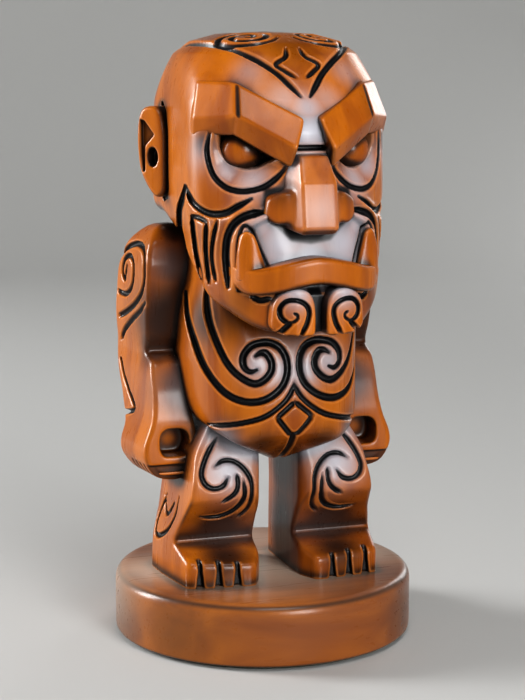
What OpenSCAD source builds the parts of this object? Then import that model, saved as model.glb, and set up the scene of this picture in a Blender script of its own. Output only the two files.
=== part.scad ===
// Tiki figure: a carved wooden idol on a round base, joined from blanks with dowels and screws.
// Millimetres, +Z up. The origin is at the centre of the underside. The figure faces -Y, and
// its own right side lies at -X. Blanks are sawn to a front, a side and sometimes a top outline.

/* [Base] */
// Diameter of the turned disc
base_d = 152; // [146:1:170]
// Thickness of the turned disc
base_h = 31; // [26:0.5:34]
// Rounding of the disc's top edge
base_edge_r = 4.5; // [2:0.5:8]
// Thickness of the felt pad
pad_h = 1.5; // [1:0.25:3]
// How far the felt pad stays inside the disc's edge
pad_inset = 5; // [3:1:10]

/* [Fixings] */
// Diameter of the neck dowel
neck_dowel_d = 16; // [10:1:20]
// Diameter of the shoulder and hip dowels
limb_dowel_d = 10; // [6:1:12]
// Depth that a dowel enters each piece
dowel_depth = 18; // [12:1:20]
// Gap between a dowel and its bore, on the radius
dowel_gap = 0.1; // [0.05:0.05:0.2]
// Diameter of a base screw's shank
screw_d = 4; // [3:0.5:5]
// Diameter of a base screw's head
screw_head_d = 8; // [6:0.5:10]
// Depth that a base screw enters a leg
screw_grip = 20; // [12:1:24]

/* [Head] */
// Height of the crown above the table
crown_z = 304; // [300:1:310]
// Diameter of an eyeball
eye_d = 21; // [18:0.5:23]
// Height of an ear
ear_h = 45; // [38:1:48]
// Thickness of an ear
ear_t = 7; // [5:0.5:9]
// Diameter of the hole pierced in an ear
ear_hole_d = 8; // [4:0.5:9]
// Angle by which an ear flares out from the head
ear_flare = 38; // [25:1:45]

/* [Hands and feet] */
// Width of the hollow in a curled fist
fist_hole_w = 15; // [11:0.5:16]
// Height of the hollow in a curled fist
fist_hole_h = 15; // [11:0.5:16]
// Depth of the hollow in a curled fist
fist_hole_depth = 11; // [6:0.5:13]
// Width of a groove between toes
toe_groove_w = 2.2; // [1:0.1:3]

/* [Hidden] */

$fn = 48;
screw_clearance = 0.6;
screw_head_h = 3;
brow_groove_x = 32;
far = 200;                       // reach of a cutting or crossing slab
base_top = pad_h + base_h;
right = -1;
left = 1;

honey = [0.71, 0.41, 0.16];
amber = [0.80, 0.47, 0.18];
umber = [0.52, 0.29, 0.12];
steel = [0.70, 0.70, 0.72];
beech = [0.86, 0.74, 0.55];
felt = [0.16, 0.20, 0.16];

neck_z = 205;
neck_y = -8;
shoulder_z = 178;
shoulder_y = 18;
shoulder_x = 42;
hip_x = 25;
hip_y = -2;
hip_z = 112;
screw_places = [[hip_x + 2, -8], [hip_x + 6, 14]];
eye_place = [26.5, -50, 245.5];
socket_r = 13;
socket_turn = 30;                // a socket opens forwards and outwards by this angle
ear_place = [48, -10, 245];
hand_place = [51.5, -11, 102];

// Half outlines run from the bottom to the top on the +X side, as [x, z].
cranium_front_half = [[0, 196], [34, 198], [46, 206], [51, 222], [51.5, 268], [48, 290], [36, 301], [0, crown_z]];
cranium_side = [[-30, 184], [0, 206], [14, 214], [34, 214], [44, 226], [47, 262], [40, 290], [16, crown_z],
    [-22, crown_z], [-44, 296], [-58, 282], [-66, 270], [-75, 260], [-72, 240], [-68, 200]];
cranium_top_half = [[0, -76], [14, -72], [34, -58], [49, -42], [52, -16], [51, 18], [42, 38], [20, 46], [0, 47]];
crown_centre_y = -9;
crown_profile = [[0, crown_z], [24, 302.5], [37, 299], [45, 293], [52, 282], [58, 272], [62, 256], [64, 180], [0, 180]];

jaw_front_half = [[0, 163], [24, 164], [42, 178], [48, 200], [44, 214], [28, 227], [0, 229]];
jaw_side = [[-81, 162], [-60, 166], [-38, 180], [-16, 200], [-16, 222], [-64, 228], [-70, 206], [-78, 196], [-79, 184]];
jaw_top_half = [[0, -81], [20, -79], [34, -66], [46, -46], [48, -16], [0, -16]];

torso_front_half = [[0, 95], [20, 104], [33, 112], [41, 123], [45, 138], [44, 164], [40, 184], [38, 214], [0, 216]];
torso_side = [[-18, 94], [-32, 98], [-43, 104], [-50, 112], [-52, 121], [-48, 146], [-42, 170], [-34, 216], [30, 216], [37, 190],
    [33, 150], [34, 128], [28, 104], [8, 96]];
torso_top_half = [[0, -53], [20, -50], [36, -38], [45, -14], [45, 18], [36, 34], [18, 38], [0, 38]];

leg_front = [[9, base_top], [58, base_top], [56, 48], [50, 64], [47, 82], [44, 98], [36, 112], [30, 126],
    [7, 126], [8, 96], [9, 60]];
leg_side = [[-39, base_top], [-38, 43.5], [-16.5, 52], [-25, 66], [-33, 75], [-33, 86], [-25, 108],
    [-24, 128], [24, 128], [26, 96], [23, 74], [26, 50], [27, base_top]];
leg_top = [[10, -31], [17, -39], [49, -33], [55, -2], [56, 14], [47, 26], [16, 27], [10, 16]];

arm_front = [[38, 206], [52, 206], [60, 196], [63, 176], [63, 150], [63, 128], [63, 116], [66, 104], [67, 96],
    [62, 86], [50, 82], [42, 88], [40, 104], [42, 116], [44, 130], [42, 150], [38, 190]];
arm_side = [[12, 208], [0, 196], [0, 172], [6, 154], [6, 150], [-4, 142], [-12, 118], [-13, 84],
    [-4, 80], [14, 84], [22, 104], [38, 134], [42, 158], [40, 190], [28, 207]];

brow_front = [[11, 241], [4, 262], [32, 280], [45, 281], [49, 278], [49, 257], [36, 254]];
brow_side = [[-84, 236], [-72, 290], [-30, 290], [-30, 236]];
brow_top = [[0, -81], [9, -78], [34, -63], [49, -43], [44, -30], [0, -60]];
nose_front_half = [[0, 210], [9, 212], [9.5, 234], [7, 247], [0, 247]];
nose_side = [[-82, 210], [-88, 214], [-85, 235], [-76, 247], [-62, 247], [-62, 210]];
wing_place = [14, -70, 222];
wing_r = 8.5;
lip_upper = [[-36, 191], [-25, 190], [-12, 195], [0, 198], [12, 195], [25, 190], [36, 191]];
lip_lower = [[36, 184], [27, 177], [14, 181], [0, 185], [-14, 181], [-27, 177], [-36, 184]];
lip_top_half = [[0, -85], [18, -82], [34, -70], [40, -60], [40, -54], [0, -54]];
tusk_front = [[21, 188], [34, 188], [33, 203], [29, 212], [25, 208], [21, 198]];
tusk_top = [[18, -80], [36, -70], [36, -60], [20, -66]];
curl_front = [[4, 164], [20, 165], [22, 178], [16, 183], [8, 184], [4, 176]];
curl_top = [[0, -87], [12, -87], [24, -82], [24, -70], [0, -70]];
ear_outline = [[-2, -ear_h / 2], [6, -ear_h / 2 + 3], [15, -6], [17, 12], [12, ear_h / 2 - 2], [2, ear_h / 2],
    [-4, 10], [-5, -10]];

// Replace each corner of an outline with a short curve that starts reach before it.
function soften(outline, reach, steps = 3) = let (n = len(outline)) [
    for (i = [0:n - 1])
        let (
            before = outline[(i + n - 1) % n],
            corner = outline[i],
            after = outline[(i + 1) % n],
            enter = corner + (before - corner) * min(reach / norm(before - corner), 0.45),
            leave = corner + (after - corner) * min(reach / norm(after - corner), 0.45)
        )
        for (k = [0:steps])
            let (s = k / steps)
            (1 - s) * (1 - s) * enter + 2 * s * (1 - s) * corner + s * s * leave
];

// A half outline on the +X side, closed with its own mirror image.
function both_halves(half) = concat(half, [for (i = [len(half) - 2:-1:1]) [-half[i][0], half[i][1]]]);

module on_side(side) mirror([side < 0 ? 1 : 0, 0, 0]) children();

// Slabs: a front outline runs along Y, a side outline along X and a top outline along Z.
module front_slab(outline, y0 = -far, y1 = far)
    translate([0, y1, 0]) rotate([90, 0, 0]) linear_extrude(y1 - y0) polygon(outline);

module side_slab(outline, x0 = -far, x1 = far)
    translate([x0, 0, 0]) rotate([90, 0, 90]) linear_extrude(x1 - x0) polygon(outline);

module top_slab(outline, z0 = 0, z1 = 2 * far)
    translate([0, 0, z0]) linear_extrude(z1 - z0) polygon(outline);

// A plain cylinder along X or Z, centred on a point, used for dowels and their bores.
module peg_x(centre, radius, length)
    translate(centre) rotate([0, 90, 0]) cylinder(r = radius, h = length, center = true);

module peg_z(centre, radius, length)
    translate(centre) cylinder(r = radius, h = length, center = true);

// Shared blanks, before neighbours are cut from each other.
module torso_blank() intersection() {
    front_slab(soften(both_halves(torso_front_half), 8));
    side_slab(soften(torso_side, 8));
    top_slab(soften(both_halves(torso_top_half), 8));
}

module head_blank() {
    intersection() {
        front_slab(soften(both_halves(cranium_front_half), 6));
        side_slab(soften(cranium_side, 6));
        top_slab(soften(both_halves(cranium_top_half), 8));
        translate([0, crown_centre_y, 0]) rotate_extrude() polygon(crown_profile);
    }
    intersection() {
        front_slab(soften(both_halves(jaw_front_half), 6));
        side_slab(soften(jaw_side, 3));
        top_slab(soften(both_halves(jaw_top_half), 6));
    }
}

module nose_blank() {
    intersection() {
        front_slab(both_halves(nose_front_half));
        side_slab(nose_side);
    }
    for (side = [right, left])
        translate([side * wing_place[0], wing_place[1], wing_place[2]]) sphere(wing_r);
}

module lip_blank() intersection() {
    front_slab(concat(lip_upper, lip_lower));
    top_slab(both_halves(lip_top_half));
}

module brow_blank() intersection() {
    front_slab(soften(brow_front, 2));
    side_slab(brow_side);
    top_slab(brow_top);
}

module curl_blank() intersection() {
    front_slab(soften(curl_front, 3));
    top_slab(curl_top);
}

module tusk_blank() intersection() {
    front_slab(soften(tusk_front, 2));
    top_slab(tusk_top);
}

module eyeball() translate(eye_place) sphere(d = eye_d);

module eye_socket() translate(eye_place) rotate([0, 0, socket_turn])
    rotate([90, 0, 0]) cylinder(r = socket_r, h = far);

module ear_blank() translate(ear_place) rotate([0, 0, 90 - ear_flare])
    rotate([90, 0, 0]) linear_extrude(ear_t) polygon(soften(ear_outline, 6));

module dowel_bore_neck() peg_z([0, neck_y, neck_z], neck_dowel_d / 2 + dowel_gap, 2 * dowel_depth + 1);

module dowel_bore_shoulder() peg_x([shoulder_x, shoulder_y, shoulder_z], limb_dowel_d / 2 + dowel_gap, 2 * dowel_depth + 1);

module dowel_bore_hip() peg_z([hip_x, hip_y, hip_z], limb_dowel_d / 2 + dowel_gap, 2 * dowel_depth + 1);

module base_disc() color(honey) difference() {
    translate([0, 0, pad_h]) rotate_extrude($fn = 96)
        polygon(concat([[0, 0], [base_d / 2 - 2, 0], [base_d / 2, 2]],
            [for (a = [0:15:90]) [base_d / 2 - base_edge_r + base_edge_r * cos(a), base_h - base_edge_r + base_edge_r * sin(a)]],
            [[0, base_h]]));
    for (side = [right, left])
        for (place = screw_places)
            translate([side * place[0], place[1], 0]) {
                translate([0, 0, -1]) cylinder(d = screw_d + screw_clearance, h = base_top + 2);
                translate([0, 0, pad_h - 1]) cylinder(d = screw_head_d + screw_clearance, h = screw_head_h + 2);
            }
}

module felt_pad() color(felt) cylinder(d = base_d - 2 * pad_inset, h = pad_h, $fn = 96);

module base_screws() color(steel) for (side = [right, left])
    for (place = screw_places)
        translate([side * place[0], place[1], pad_h + 1]) {
            cylinder(d = screw_head_d, h = screw_head_h);
            cylinder(d = screw_d, h = base_h - 1 + screw_grip);
        }

module leg_blank() intersection() {
    front_slab(soften(leg_front, 4));
    side_slab(soften(leg_side, 3));
    top_slab(soften(leg_top, 5));
}

module leg(side) color(amber) on_side(side) difference() {
    leg_blank();
    torso_blank();
    dowel_bore_hip();
    for (place = screw_places)
        translate([place[0], place[1], base_top - 1]) cylinder(d = screw_d, h = screw_grip + 2);
    for (toe = [1:3])
        translate([16 + toe * 8, -44 + toe, base_top - 1]) cube([toe_groove_w, 12, 16]);
}

module leg_right() leg(right);

module leg_left() leg(left);

module torso() color(honey) difference() {
    torso_blank();
    head_blank();
    dowel_bore_neck();
    for (side = [right, left])
        on_side(side) {
            dowel_bore_shoulder();
            dowel_bore_hip();
        }
}

module arm(side) color(honey) on_side(side) difference() {
    intersection() {
        front_slab(soften(arm_front, 4));
        side_slab(soften(arm_side, 4));
    }
    torso_blank();
    head_blank();
    leg_blank();
    dowel_bore_shoulder();
    translate([hand_place[0] - fist_hole_w / 2, hand_place[1] - 6, hand_place[2] - fist_hole_h / 2])
        cube([fist_hole_w, fist_hole_depth + 4, fist_hole_h]);
}

module arm_right() arm(right);

module arm_left() arm(left);

module head() color(honey) difference() {
    head_blank();
    nose_blank();
    lip_blank();
    dowel_bore_neck();
    for (side = [right, left])
        on_side(side) {
            brow_blank();
            curl_blank();
            tusk_blank();
            eyeball();
            eye_socket();
            ear_blank();
        }
}

module ear(side) color(amber) on_side(side) difference() {
    ear_blank();
    translate(ear_place) rotate([0, 0, 90 - ear_flare]) rotate([90, 0, 0]) {
        translate([6, 8, -1]) cylinder(d = 11, h = 4);
        translate([6, -2, -1]) cylinder(d = ear_hole_d, h = ear_t + 2);
    }
}

module ear_right() ear(right);

module ear_left() ear(left);

module brow(side) color(amber) on_side(side) difference() {
    brow_blank();
    eyeball();
    translate([brow_groove_x, -70, 262]) cube([2, 8, 22]);
}

module brow_right() brow(right);

module brow_left() brow(left);

module nose() color(amber) nose_blank();

module eye(side) color(umber) on_side(side) eyeball();

module eye_right() eye(right);

module eye_left() eye(left);

module tusk(side) color(amber) on_side(side) difference() {
    tusk_blank();
    lip_blank();
}

module tusk_right() tusk(right);

module tusk_left() tusk(left);

module lower_lip() color(amber) lip_blank();

module chin_curl(side) color(amber) on_side(side) difference() {
    curl_blank();
    lip_blank();
}

module chin_curl_right() chin_curl(right);

module chin_curl_left() chin_curl(left);

module neck_dowel() color(beech) peg_z([0, neck_y, neck_z], neck_dowel_d / 2, 2 * dowel_depth);

module shoulder_dowel(side) color(beech) on_side(side)
    peg_x([shoulder_x, shoulder_y, shoulder_z], limb_dowel_d / 2, 2 * dowel_depth);

module shoulder_dowel_right() shoulder_dowel(right);

module shoulder_dowel_left() shoulder_dowel(left);

module hip_dowel(side) color(beech) on_side(side)
    peg_z([hip_x, hip_y, hip_z], limb_dowel_d / 2, 2 * dowel_depth);

module hip_dowel_right() hip_dowel(right);

module hip_dowel_left() hip_dowel(left);

base_disc();
felt_pad();
base_screws();
leg_right();
leg_left();
torso();
arm_right();
arm_left();
head();
ear_right();
ear_left();
brow_right();
brow_left();
nose();
eye_right();
eye_left();
tusk_right();
tusk_left();
lower_lip();
chin_curl_right();
chin_curl_left();
neck_dowel();
shoulder_dowel_right();
shoulder_dowel_left();
hip_dowel_right();
hip_dowel_left();
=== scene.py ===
"""Tiki figure: a carved, stained and lacquered wooden idol on a turned base.

Each piece is a solid of signed distances, in millimetres and negative inside, sampled on an even grid and
turned into a mesh. The figure faces -Y. Side pieces are made on the +X side and mirrored. Carved lines are
drawn on flat plates and pressed into the solid along the plate's own direction.
"""

import itertools
import math

import bpy
import numpy as np
import openvdb
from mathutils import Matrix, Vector


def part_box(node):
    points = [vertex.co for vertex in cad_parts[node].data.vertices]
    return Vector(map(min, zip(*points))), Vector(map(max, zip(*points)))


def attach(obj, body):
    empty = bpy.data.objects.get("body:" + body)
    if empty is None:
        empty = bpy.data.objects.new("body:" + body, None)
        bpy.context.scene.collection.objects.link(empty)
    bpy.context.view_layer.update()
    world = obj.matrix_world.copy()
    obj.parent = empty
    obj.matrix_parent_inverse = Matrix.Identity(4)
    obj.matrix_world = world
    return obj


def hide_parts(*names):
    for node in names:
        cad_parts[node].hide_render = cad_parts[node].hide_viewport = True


MM = 0.001
# Steps of the grids, in millimetres: for large pieces, for small ones and for the shading of creases.
FINE = 0.65
SMALL = 0.5
COARSE = 1.6
FACE_TURN = math.radians(18.3)  # the face plate is turned this far from the front, towards each side
FACE_SIN = math.sin(FACE_TURN)
FACE_COS = math.cos(FACE_TURN)
CROWN_TILT = math.sqrt(0.5)  # the crown plate leans back by 45 degrees
UNDERSIDE_PAINTED_SHADE = 0.4  # how much painted shade darkens a face that looks straight down
GROOVE_STAIN_DEPTH = 1.7  # a line at least this deep is fully stained
SOCKET_DARKNESS = 0.95  # how dark the gap round an eyeball is made
NOSE_PAINTED_SHADE = 0.75  # how dark the painted shade round the foot of the nose is
CHIN_GAP_PAINTED_SHADE = 0.8  # how dark the painted shade in the gap between the chin curls is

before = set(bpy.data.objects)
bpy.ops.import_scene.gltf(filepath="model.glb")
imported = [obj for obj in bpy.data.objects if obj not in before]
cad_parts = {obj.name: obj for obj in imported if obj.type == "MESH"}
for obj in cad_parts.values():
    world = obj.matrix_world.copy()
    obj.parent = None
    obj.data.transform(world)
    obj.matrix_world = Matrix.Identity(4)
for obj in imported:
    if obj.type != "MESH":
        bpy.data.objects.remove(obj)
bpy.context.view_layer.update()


def box_mm(node):
    """Lowest and highest corners of a CAD node, in millimetres."""
    low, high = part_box(node)
    return np.array(low) / MM, np.array(high) / MM


BASE_LOW, BASE_HIGH = box_mm("base_disc")
EYE_LOW, EYE_HIGH = box_mm("eye_left")
CROWN_Z = box_mm("head")[1][2]
BASE_TOP = BASE_HIGH[2]
BASE_RADIUS = BASE_HIGH[0]
EYE_SINK = 1.0  # the carved ball sits this far behind the plain one, inside its lids
EYE_RISE = 2.2  # and this far above it
EYE_SHAPE = (0.97, 0.95, 0.92)  # its three radii, as parts of the plain ball's radius
EYE_CENTRE = (EYE_LOW + EYE_HIGH) / 2
EYE_RADIUS = (EYE_HIGH[0] - EYE_LOW[0]) / 2

# Outlines. Fronts are [x, z], sides are [y, z] and tops are [x, y]. A half outline is the +X half.
CRANIUM_FRONT = [(0, 196), (34, 198), (46, 206), (51, 222), (51.5, 268), (48, 296), (40, 312), (0, 316)]
CRANIUM_SIDE = [(-30, 184), (0, 206), (14, 214), (34, 214), (44, 226), (47, 262), (42, 290), (20, 314),
                (-22, 314), (-44, 298), (-58, 283), (-67, 270), (-75, 260), (-72, 240), (-68, 200)]
CRANIUM_TOP = [(0, -77), (14, -73), (34, -60), (50, -43), (53, -16), (53, 20), (48, 40), (24, 49), (0, 50)]
CROWN_CENTRE_Y = -2
CROWN_STRETCH = 0.89  # the crown reaches further forward than back, by one over this
CROWN_PROFILE = [(-70, CROWN_Z), (0, CROWN_Z), (24, 302.5), (37, 299), (45, 293), (52, 282), (58, 272),
                 (62, 256), (64, 180), (-70, 180)]
JAW_FRONT = [(0, 163), (24, 164), (42, 178), (48, 200), (44, 214), (28, 227), (0, 229)]
JAW_SIDE = [(-81, 162), (-60, 166), (-38, 180), (-16, 200), (-16, 222), (-64, 228), (-70, 206), (-78, 196),
            (-79, 184)]
JAW_TOP = [(0, -81), (20, -79), (34, -66), (46, -46), (48, -16), (0, -16)]
MUZZLE_FRONT = [(0, 224), (20, 223), (31, 219), (36.5, 210), (38, 200), (37.5, 184), (0, 184)]
MUZZLE_SIDE = [(-50, 225), (-68, 223), (-73, 218), (-75, 208), (-77, 199), (-78, 180), (-50, 180)]
MUZZLE_TOP = [(0, -80), (14, -78), (26, -72), (34, -65), (38, -58), (38, -48), (0, -48)]
TORSO_FRONT = [(0, 91), (12, 97.5), (24, 103.8), (37, 111.5), (43, 119), (46.5, 130), (47, 142), (45, 164),
               (40, 184), (38, 214), (0, 216)]
TORSO_SIDE = [(-18, 88), (-30, 95), (-43, 103), (-50, 111), (-52, 121), (-48, 146), (-42, 170), (-34, 216),
              (30, 216), (37, 190), (33, 150), (34, 128), (28, 104), (8, 94)]
TORSO_TOP = [(0, -53), (20, -50), (36, -38), (45, -14), (45, 18), (36, 34), (18, 38), (0, 38)]
LEG_FRONT = [(9, 20), (58.5, 20), (58, BASE_TOP), (56, 48), (50, 64), (47, 82), (44, 98), (36, 112),
             (30, 126), (7, 126), (8, 96), (9, 60)]
LEG_SIDE = [(-39, BASE_TOP), (-38, 43.5), (-16, 52), (-23, 64), (-34, 77), (-34, 83), (-26, 106),
            (-20, 128), (24, 128), (26, 96), (23, 74), (26, 50), (27, BASE_TOP), (27, 20), (-39, 20)]
LEG_TOP = [(10.5, -27), (16.5, -39), (50, -34), (55, -2), (56, 14), (47, 26), (14, 27), (10, 23), (10, -16)]
ARM_FRONT = [(36, 209), (50, 209), (58, 201), (60.5, 192), (60.5, 164), (58.5, 145), (60.5, 136),
             (61.5, 120), (63.5, 110), (67.5, 101), (68, 94), (63, 85), (51, 81), (42, 87), (40, 104),
             (42, 116), (44, 130), (42, 150), (36, 190)]
ARM_SIDE = [(14, 212), (2, 201), (-1, 190), (1, 170), (4, 153), (8, 145), (-2, 141), (-8, 128), (-12, 114),
            (-14, 84), (-4, 79), (14, 82), (20, 92), (21, 106), (31, 117), (38, 128), (46, 143), (45, 158),
            (40, 184), (31, 200), (22, 210)]
ARM_SPLAY = 0.14  # the outer face turns outwards towards the back by this slope
LIP_UPPER = [(-36, 195), (-32, 194.8), (-26, 194.8), (-14, 197.8), (0, 200), (14, 197.8), (26, 194.8),
             (32, 194.8), (36, 195)]
LIP_LOWER = [(36, 187.5), (32, 182.8), (26, 182.4), (14, 184.8), (0, 187.5), (-14, 184.8), (-26, 182.4),
             (-32, 182.8), (-36, 187.5)]
LIP_TOP = [(0, -87), (18, -85), (31, -75), (37.5, -64), (38.5, -54), (0, -54)]
CURL_FRONT = [(2.6, 163.5), (19, 164.5), (23, 168), (22, 179), (19, 183.5), (12, 186), (6, 185), (3, 180),
              (2.4, 173)]
CURL_TOP = [(0, -87), (12, -87), (24, -82), (24, -66), (0, -66)]
EAR_OUTLINE = [(7, -17), (9, -21), (13, -22.5), (18, -17), (22.5, -9), (24, 4), (23.6, 15), (21, 22),
               (13, 23), (9, 19), (7, 10)]
EAR_RECESS = [(22, 16), (19, 15.5), (13, 8.6), (18.6, 3.2), (18.8, -9.5), (20.2, -9.5), (21.6, -2)]
EAR_PLACE = np.array([48.0, -10.0, 245.0])
EAR_TURN = math.radians(52)
EAR_THICKNESS = 9

# Corners of the faceted pieces, as [x, y, z].
BROW_INNER = [(3.8, -74, 262.5), (32, -57, 279), (34, -65, 264.5), (9, -79, 249.5), (10, -73.5, 240.5),
              (33, -59.5, 255), (3.8, -56, 266), (31, -40, 282), (10, -52, 241.5), (33, -40, 257)]
BROW_OUTER = [(31.5, -57.3, 279), (44.6, -37, 280), (49, -44, 263), (33.5, -65.3, 264.5),
              (48.5, -40.5, 254.5), (32, -59.5, 255), (31, -36, 282), (44, -24, 281), (47, -24, 257),
              (32, -36, 257)]
NOSE_BRIDGE = [(8.5, -83.5, 234), (8.5, -86.5, 213), (7.6, -82.5, 210), (6.7, -75.7, 246), (6.5, -62, 248),
               (13, -64, 238), (15, -66, 214), (11, -78, 212)]
NOSE_WING = [(6, -78, 230), (15, -77.5, 229.5), (21.5, -72, 226), (22.5, -71, 218), (18, -75.5, 214.5),
             (8, -80, 215), (6, -60, 231), (20, -60, 228), (21.5, -60, 216), (6, -60, 215)]
TUSK_CORNERS = [(20.5, -73.5, 188), (30, -75, 188), (35, -69.5, 188), (34.5, -61, 188), (21, -63, 188),
                (22.5, -74, 196), (35, -69, 203), (27, -72, 210.5), (31, -70.5, 212.8), (33.4, -67.5, 210),
                (28, -65, 209.5), (32.5, -63, 209)]

# The painted shade round the foot of the nose, as [x, z] on the +X side.
NOSE_SHADE = [(-1, 206.5), (9, 208), (14, 213), (20, 218), (20, 230), (-1, 230)]

# Carved lines: (points, half width, depth). On the face plate: [across, up], with
# across = -(|x| cos + y sin) of the plate's turn.
CHEEK_LINES = [
    ([(-36.5, 230.5), (-38.6, 223), (-40, 218), (-40.3, 212), (-40.2, 206), (-38.6, 200), (-36.5, 194.5),
      (-33.5, 189), (-30, 183), (-26, 178)], 1.6, 2.2),
    ([(-36.5, 230.5), (-33.4, 224), (-28.6, 220), (-23, 218.3), (-17, 219.2), (-12, 222),
      (-5, 226)], 1.7, 2.2),
    ([(-33.5, 216.3), (-30, 216.2), (-26, 214.5)], 1.3, 1.8),
    ([(-33.3, 216), (-32.9, 210), (-31.8, 200), (-30.2, 192.5), (-28.8, 186)], 1.3, 2.0),
    ([(-26.2, 214.5), (-26.6, 207), (-26.5, 199), (-25.8, 192), (-25, 185.5)], 1.3, 2.0),
    ([(-21, 215.5), (-23, 207), (-23.8, 199.5), (-23.2, 193), (-21.8, 187)], 1.2, 1.9),
]
MOUTH_LINE = ([(0.6, 220), (-4.6, 219.2), (-9.5, 217.4), (-13.7, 213.6), (-16.3, 207.6), (-17, 200),
               (-16.6, 193.4), (-16, 185)], 2.1, 2.6)
MUZZLE_DISH = [(31, 221), (8, 220.5), (0, 217.5), (-6, 214.5), (-10, 210), (-12.4, 203), (-13, 182),
               (31, 182)]
TUSK_LINE = ([(5, 190), (1, 198), (-3, 206.5), (-5.5, 212.5), (-9, 213.5), (-11, 206),
              (-11, 192)], 1.2, 1.4)
UNDER_LIP_LINE = ([(-5, 181.5), (-1, 179.8), (3.5, 181)], 1.6, 2.2)
EYE_RING = [(-24.6, 256), (-25.9, 248), (-24.4, 240), (-21.4, 234.5), (-15.8, 230.4), (-8.6, 229.3),
            (-0.6, 231), (5.8, 235), (10.5, 240)]
EYE_ROOF = [(8, 250), (-6, 260), (-20, 263), (-26, 262)]
EYE_LID = [(-20.4, 256), (-20.6, 250), (-18.6, 245), (-14.4, 241), (-8, 238.8), (-2, 239.6), (3, 242.4),
           (9.5, 245), (7, 250), (-6, 258), (-16, 259)]
BELLY_LINES = [
    ([(-38, 176), (-36.8, 165), (-33.5, 154.5), (-29, 143.5), (-22.4, 134.6), (-15, 129), (-6, 126.8),
      (2.4, 128.5), (9, 133.5), (11.8, 140), (11.4, 147), (8.4, 152.3), (3.6, 155), (-1.2, 155.2),
      (-6, 153.6), (-9.3, 149), (-9, 144.2), (-6, 141.6), (-2.6, 142.6)], 2.0, 2.6),
    ([(-26.6, 186), (-26.8, 174), (-25.6, 165), (-22.2, 155.5), (-17.4, 146), (-12, 140), (-4.8, 136),
      (0, 137), (3.8, 141), (4.3, 145.6), (1.9, 149.8), (-0.8, 150.6), (-3.6, 149)], 2.0, 2.6),
    ([(-19, 182), (-16.5, 177), (-13.5, 172), (-11, 169)], 1.3, 1.6),
    ([(-26, 113.8), (-18, 114.8), (-8.4, 116.8), (1.2, 119.8), (9, 125), (13.4, 130.3),
      (16, 137)], 1.5, 2.0),
    ([(15.8, 126.5), (6.8, 118.8)], 1.5, 2.0),
    ([(6.8, 119.4), (14.2, 109)], 1.5, 2.0),
]
KNEE_LINES = [
    ([(-22.6, 106), (-26.4, 100), (-29, 94), (-30, 88.8), (-28, 84.2), (-24, 82), (-19.5, 83),
      (-17, 87)], 1.5, 2.0),
    ([(-23.7, 92.3), (-19.5, 94.8), (-13.9, 94), (-8.7, 89.7), (-5.4, 83.4), (-5.3, 76.5),
      (-7, 70)], 1.4, 1.9),
    ([(-12.8, 88), (-12.1, 83), (-14, 78.6), (-20, 74.4)], 1.4, 1.9),
    ([(-9.6, 85.8), (-9, 77), (-14, 69.4), (-22, 65.6), (-31, 66)], 1.3, 1.8),
    ([(-5.6, 75), (-8, 69), (-13, 64)], 1.0, 1.3),
]
# On the crown plate: [x, (y + z) / sqrt 2].
CROWN_LINES = [
    ([(40, 222), (39, 210), (36.5, 198), (31, 186.5), (24.5, 176.5), (17, 168), (11, 161), (6, 153.5),
      (2.2, 147.8)], 1.6, 2.2),
    ([(3.2, 177), (5, 171), (10.5, 166.8), (7, 162.4), (2.6, 158.4)], 1.3, 1.8),
]
CROWN_SPIRAL_CENTRE = (18, 192)
# On side plates: [y, z].
SHOULDER_LINES = [
    ([(46, 158), (38, 160), (26.5, 164), (16, 169), (8, 175), (4.5, 181.5), (4, 189.5), (6, 194.5),
      (10.5, 197.5), (17.5, 198.5), (24, 197.5), (30, 195), (36, 190)], 1.7, 2.2),
    ([(44, 176), (40, 173), (35, 172), (27.5, 172.5), (20.5, 177), (18, 184), (18.5, 189), (23, 192),
      (28, 191), (31.5, 187), (32.5, 182.5), (30, 179.5), (28, 183), (26.5, 187)], 1.5, 2.1),
    ([(3.5, 170.5), (10.5, 165.5), (21.5, 160), (33, 153.5), (40, 147.5), (46, 144)], 1.6, 2.0),
]
FOREARM_LINES = [
    ([(40, 141), (37, 137), (30, 128.5), (22.5, 122), (14, 115), (26, 111.5), (34, 110)], 1.4, 1.9),
]
CALF_LINES = [
    ([(8, 71), (13, 61), (9, 50), (-5, 55), (-11, 64), (-13, 74)], 1.5, 1.9),
    ([(11, 70), (2, 62), (-7, 70)], 1.3, 1.8),
]
# On the front plate of a chin curl: [x, z].
CURL_LINES = [
    ([(10.6, 162), (9, 166), (7, 170), (6, 175), (7.6, 178.6), (11.7, 180.7), (16.3, 180.3), (19, 177.2),
      (18.8, 173.2), (16.5, 170.8), (14.3, 170.2)], 1.3, 2.2),
    ([(14.3, 170.6), (17, 167.8), (19.8, 165)], 1.5, 2.2),
    ([(14.3, 170.2), (11.8, 172), (11.6, 173.8), (13.2, 175)], 0.8, 1.5),
]


class Space:
    """A box of space sampled on an even grid. x, y and z broadcast to the whole grid."""

    def __init__(self, low, high, step):
        self.low = np.array(low, np.float64)
        self.step = step
        axes = [np.arange(a, b + step, step, dtype=np.float32) for a, b in zip(low, high)]
        self.x, self.y, self.z = np.ix_(*axes)
        self.away = np.abs(self.x)
        self.across = -FACE_COS * self.away - FACE_SIN * self.y
        self.depth = -FACE_SIN * self.away + FACE_COS * self.y

    def index(self, points):
        """Grid coordinates of points given in millimetres."""
        return (points - self.low) / self.step


def mirrored(half):
    """A half outline on the +X side, closed with its own mirror image."""
    return list(half) + [(-p, q) for p, q in reversed(half) if p != 0]


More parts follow.
